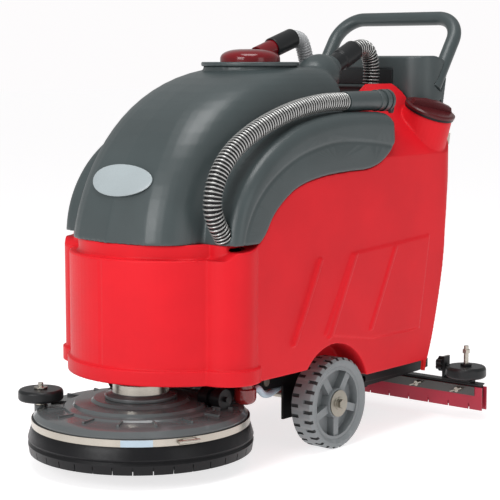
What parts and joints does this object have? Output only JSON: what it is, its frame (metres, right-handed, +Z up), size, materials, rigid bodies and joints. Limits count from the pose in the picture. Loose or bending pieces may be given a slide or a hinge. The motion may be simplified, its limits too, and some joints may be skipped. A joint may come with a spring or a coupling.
{
  "type": "floor scrubber machine",
  "caption": "Walk-behind floor scrubber with a disc brush deck in front, stacked water tanks, a rear squeegee, drain and suction hoses, and a loop handle over a rear console.",
  "frame": {"origin": "on the floor, below the middle of the machine's bounding box", "axes": "+Z up, -Y towards the front (brush deck), +X to the operator's left"},
  "size_m": [0.734, 1.2495, 1.0075],
  "materials": {
    "red_shell": "rotomoulded, satin",
    "grey_shell": "rotomoulded, satin",
    "silver_plate": "bare plate",
    "black_plastic": "satin",
    "black_rubber": "matte",
    "drain_rib": "silver ribs over black",
    "clear_hose": "translucent, ribbed",
    "maroon_clear": "dark red, clear",
    "maroon_plastic": "satin",
    "red_switch": "satin",
    "yellow_button": "satin",
    "wheel_grey": "satin",
    "bright_steel": "plated",
    "caster_rubber": "matte",
    "black_steel": "satin black paint",
    "blade_rubber": "matte",
    "pale_sleeve": "satin",
    "drive_plastic": "satin",
    "pad_fibre": "open fibre",
    "valve_brass": "cast",
    "clear_tube": "clear tube"
  },
  "bodies": {
    "body": {"chassis_frame": "black_steel", "main_axle": "bright_steel", "axle_washers": "bright_steel", "solution_tank": "red_shell", "recovery_tank": "grey_shell", "badge_plate": "silver_plate", "batteries": "black_plastic", "vacuum_motor": "black_plastic", "vacuum_hose": "clear_hose", "inlet_elbow": "black_plastic", "squeegee_hose": "black_rubber", "drain_hose": "drain_rib", "drain_cuff": "grey_shell", "console_housing": "grey_shell", "console_plate": "black_plastic", "control_panel": "black_plastic", "grip_loop": "grey_shell", "caster_plate": "bright_steel", "solution_valve": "valve_brass", "sight_tube": "clear_tube", "solution_filter": "maroon_plastic", "solution_hose": "pale_sleeve"},
    "left_wheel": {"left_tyre": "wheel_grey", "left_hub": "wheel_grey"},
    "right_wheel": {"right_tyre": "wheel_grey", "right_hub": "wheel_grey"},
    "caster": {"caster_fork": "bright_steel", "caster_axle": "bright_steel"},
    "caster_roller": {"caster_wheel": "caster_rubber"},
    "lift": {"lift_arms": "black_steel", "lift_shaft": "bright_steel"},
    "deck": {"deck_cover": "grey_shell", "deck_skirt": "black_rubber", "deck_band": "bright_steel", "band_sleeve": "pale_sleeve", "brush_motor": "bright_steel", "guide_stalk": "bright_steel"},
    "brush": {"pad_driver": "drive_plastic", "scrub_pad": "pad_fibre"},
    "guide": {"guide_roller": "black_plastic"},
    "squeegee_arm": {"squeegee_frame": "black_steel"},
    "squeegee": {"squeegee_bar": "black_steel", "squeegee_blades": "blade_rubber", "blade_clamps": "bright_steel", "wing_nuts": "bright_steel", "roller_brackets": "black_steel"},
    "left_guide": {"left_roller": "black_plastic"},
    "right_guide": {"right_roller": "black_plastic"},
    "knob": {"tilt_knob": "black_plastic"},
    "valve_handle": {"valve_lever": "red_switch"},
    "cap": {"fill_cap": "maroon_plastic", "fill_gasket": "black_rubber"},
    "lid": {"lid_ring": "grey_shell", "lid_dome": "maroon_clear", "lid_elbow": "maroon_clear", "lid_cuff": "black_plastic"},
    "plug": {"drain_plug": "grey_shell"},
    "brush_rocker": {"brush_switch": "red_switch"},
    "vacuum_rocker": {"vacuum_switch": "black_plastic"},
    "breaker": {"breaker_button": "yellow_button"}
  },
  "joints": [
    {"name": "left_wheel_spin", "type": "hinge", "parent": "body", "child": "left_wheel", "pos_m": [0.231, 0.00425, 0.105], "axis": [1, 0, 0], "continuous": true},
    {"name": "right_wheel_spin", "type": "hinge", "parent": "body", "child": "right_wheel", "pos_m": [-0.231, 0.00425, 0.105], "axis": [1, 0, 0], "continuous": true},
    {"name": "caster_swivel", "type": "hinge", "parent": "body", "child": "caster", "pos_m": [0, 0.32625, 0.118], "axis": [0, 0, 1], "continuous": true},
    {"name": "caster_roll", "type": "hinge", "parent": "caster", "child": "caster_roller", "pos_m": [0, 0.35225, 0.05], "axis": [1, 0, 0], "continuous": true},
    {"name": "deck_lift", "type": "hinge", "parent": "body", "child": "lift", "pos_m": [0, -0.14575, 0.166], "axis": [1, 0, 0], "range_deg": [0, 13.8]},
    {"name": "deck_level", "type": "hinge", "parent": "lift", "child": "deck", "pos_m": [0, -0.28775, 0.15], "axis": [1, 0, 0], "range_deg": [-13.8, 0]},
    {"name": "brush_spin", "type": "hinge", "parent": "deck", "child": "brush", "pos_m": [0, -0.37575, 0.07], "axis": [0, 0, 1], "continuous": true},
    {"name": "guide_spin", "type": "hinge", "parent": "deck", "child": "guide", "pos_m": [-0.176, -0.51175, 0.148], "axis": [0, 0, 1], "continuous": true},
    {"name": "squeegee_lift", "type": "hinge", "parent": "body", "child": "squeegee_arm", "pos_m": [0, 0.19425, 0.122], "axis": [1, 0, 0], "range_deg": [-5.6, 0], "deforming": ["squeegee_hose"]},
    {"name": "squeegee_swivel", "type": "hinge", "parent": "squeegee_arm", "child": "squeegee", "pos_m": [0, 0.45625, 0.11], "axis": [0, 0, 1], "range_deg": [-6, 6]},
    {"name": "left_roller_spin", "type": "hinge", "parent": "squeegee", "child": "left_guide", "pos_m": [0.313, 0.45625, 0.114], "axis": [0, 0, 1], "continuous": true},
    {"name": "right_roller_spin", "type": "hinge", "parent": "squeegee", "child": "right_guide", "pos_m": [-0.313, 0.45625, 0.114], "axis": [0, 0, 1], "continuous": true},
    {"name": "tilt_knob_turn", "type": "hinge", "parent": "squeegee", "child": "knob", "pos_m": [0.242, 0.45625, 0.128], "axis": [1, 0, 0], "continuous": true},
    {"name": "valve_turn", "type": "hinge", "parent": "body", "child": "valve_handle", "pos_m": [0.228, 0.40025, 0.168], "axis": [1, 0, 0], "range_deg": [0, 90]},
    {"name": "cap_lift", "type": "slide", "parent": "body", "child": "cap", "axis": [0.4067, 0, 0.9135], "range_m": [0, 0.06]},
    {"name": "lid_lift", "type": "slide", "parent": "body", "child": "lid", "axis": [0, 0, 1], "range_m": [0, 0.06], "deforming": ["vacuum_hose"]},
    {"name": "plug_pull", "type": "slide", "parent": "body", "child": "plug", "axis": [0, 1, 0], "range_m": [0, 0.04]},
    {"name": "brush_switch_rock", "type": "hinge", "parent": "body", "child": "brush_rocker", "pos_m": [-0.06, 0.51325, 0.826], "axis": [1, 0, 0], "range_deg": [-7, 7]},
    {"name": "vacuum_switch_rock", "type": "hinge", "parent": "body", "child": "vacuum_rocker", "pos_m": [0, 0.51325, 0.826], "axis": [1, 0, 0], "range_deg": [-7, 7]},
    {"name": "breaker_press", "type": "slide", "parent": "body", "child": "breaker", "axis": [0, -1, 0], "range_m": [0, 0.003], "stiffness_N_per_m": 900}
  ],
  "couplings": [
    {"joint": "deck_level", "follows": "deck_lift", "ratio": -1}
  ]
}
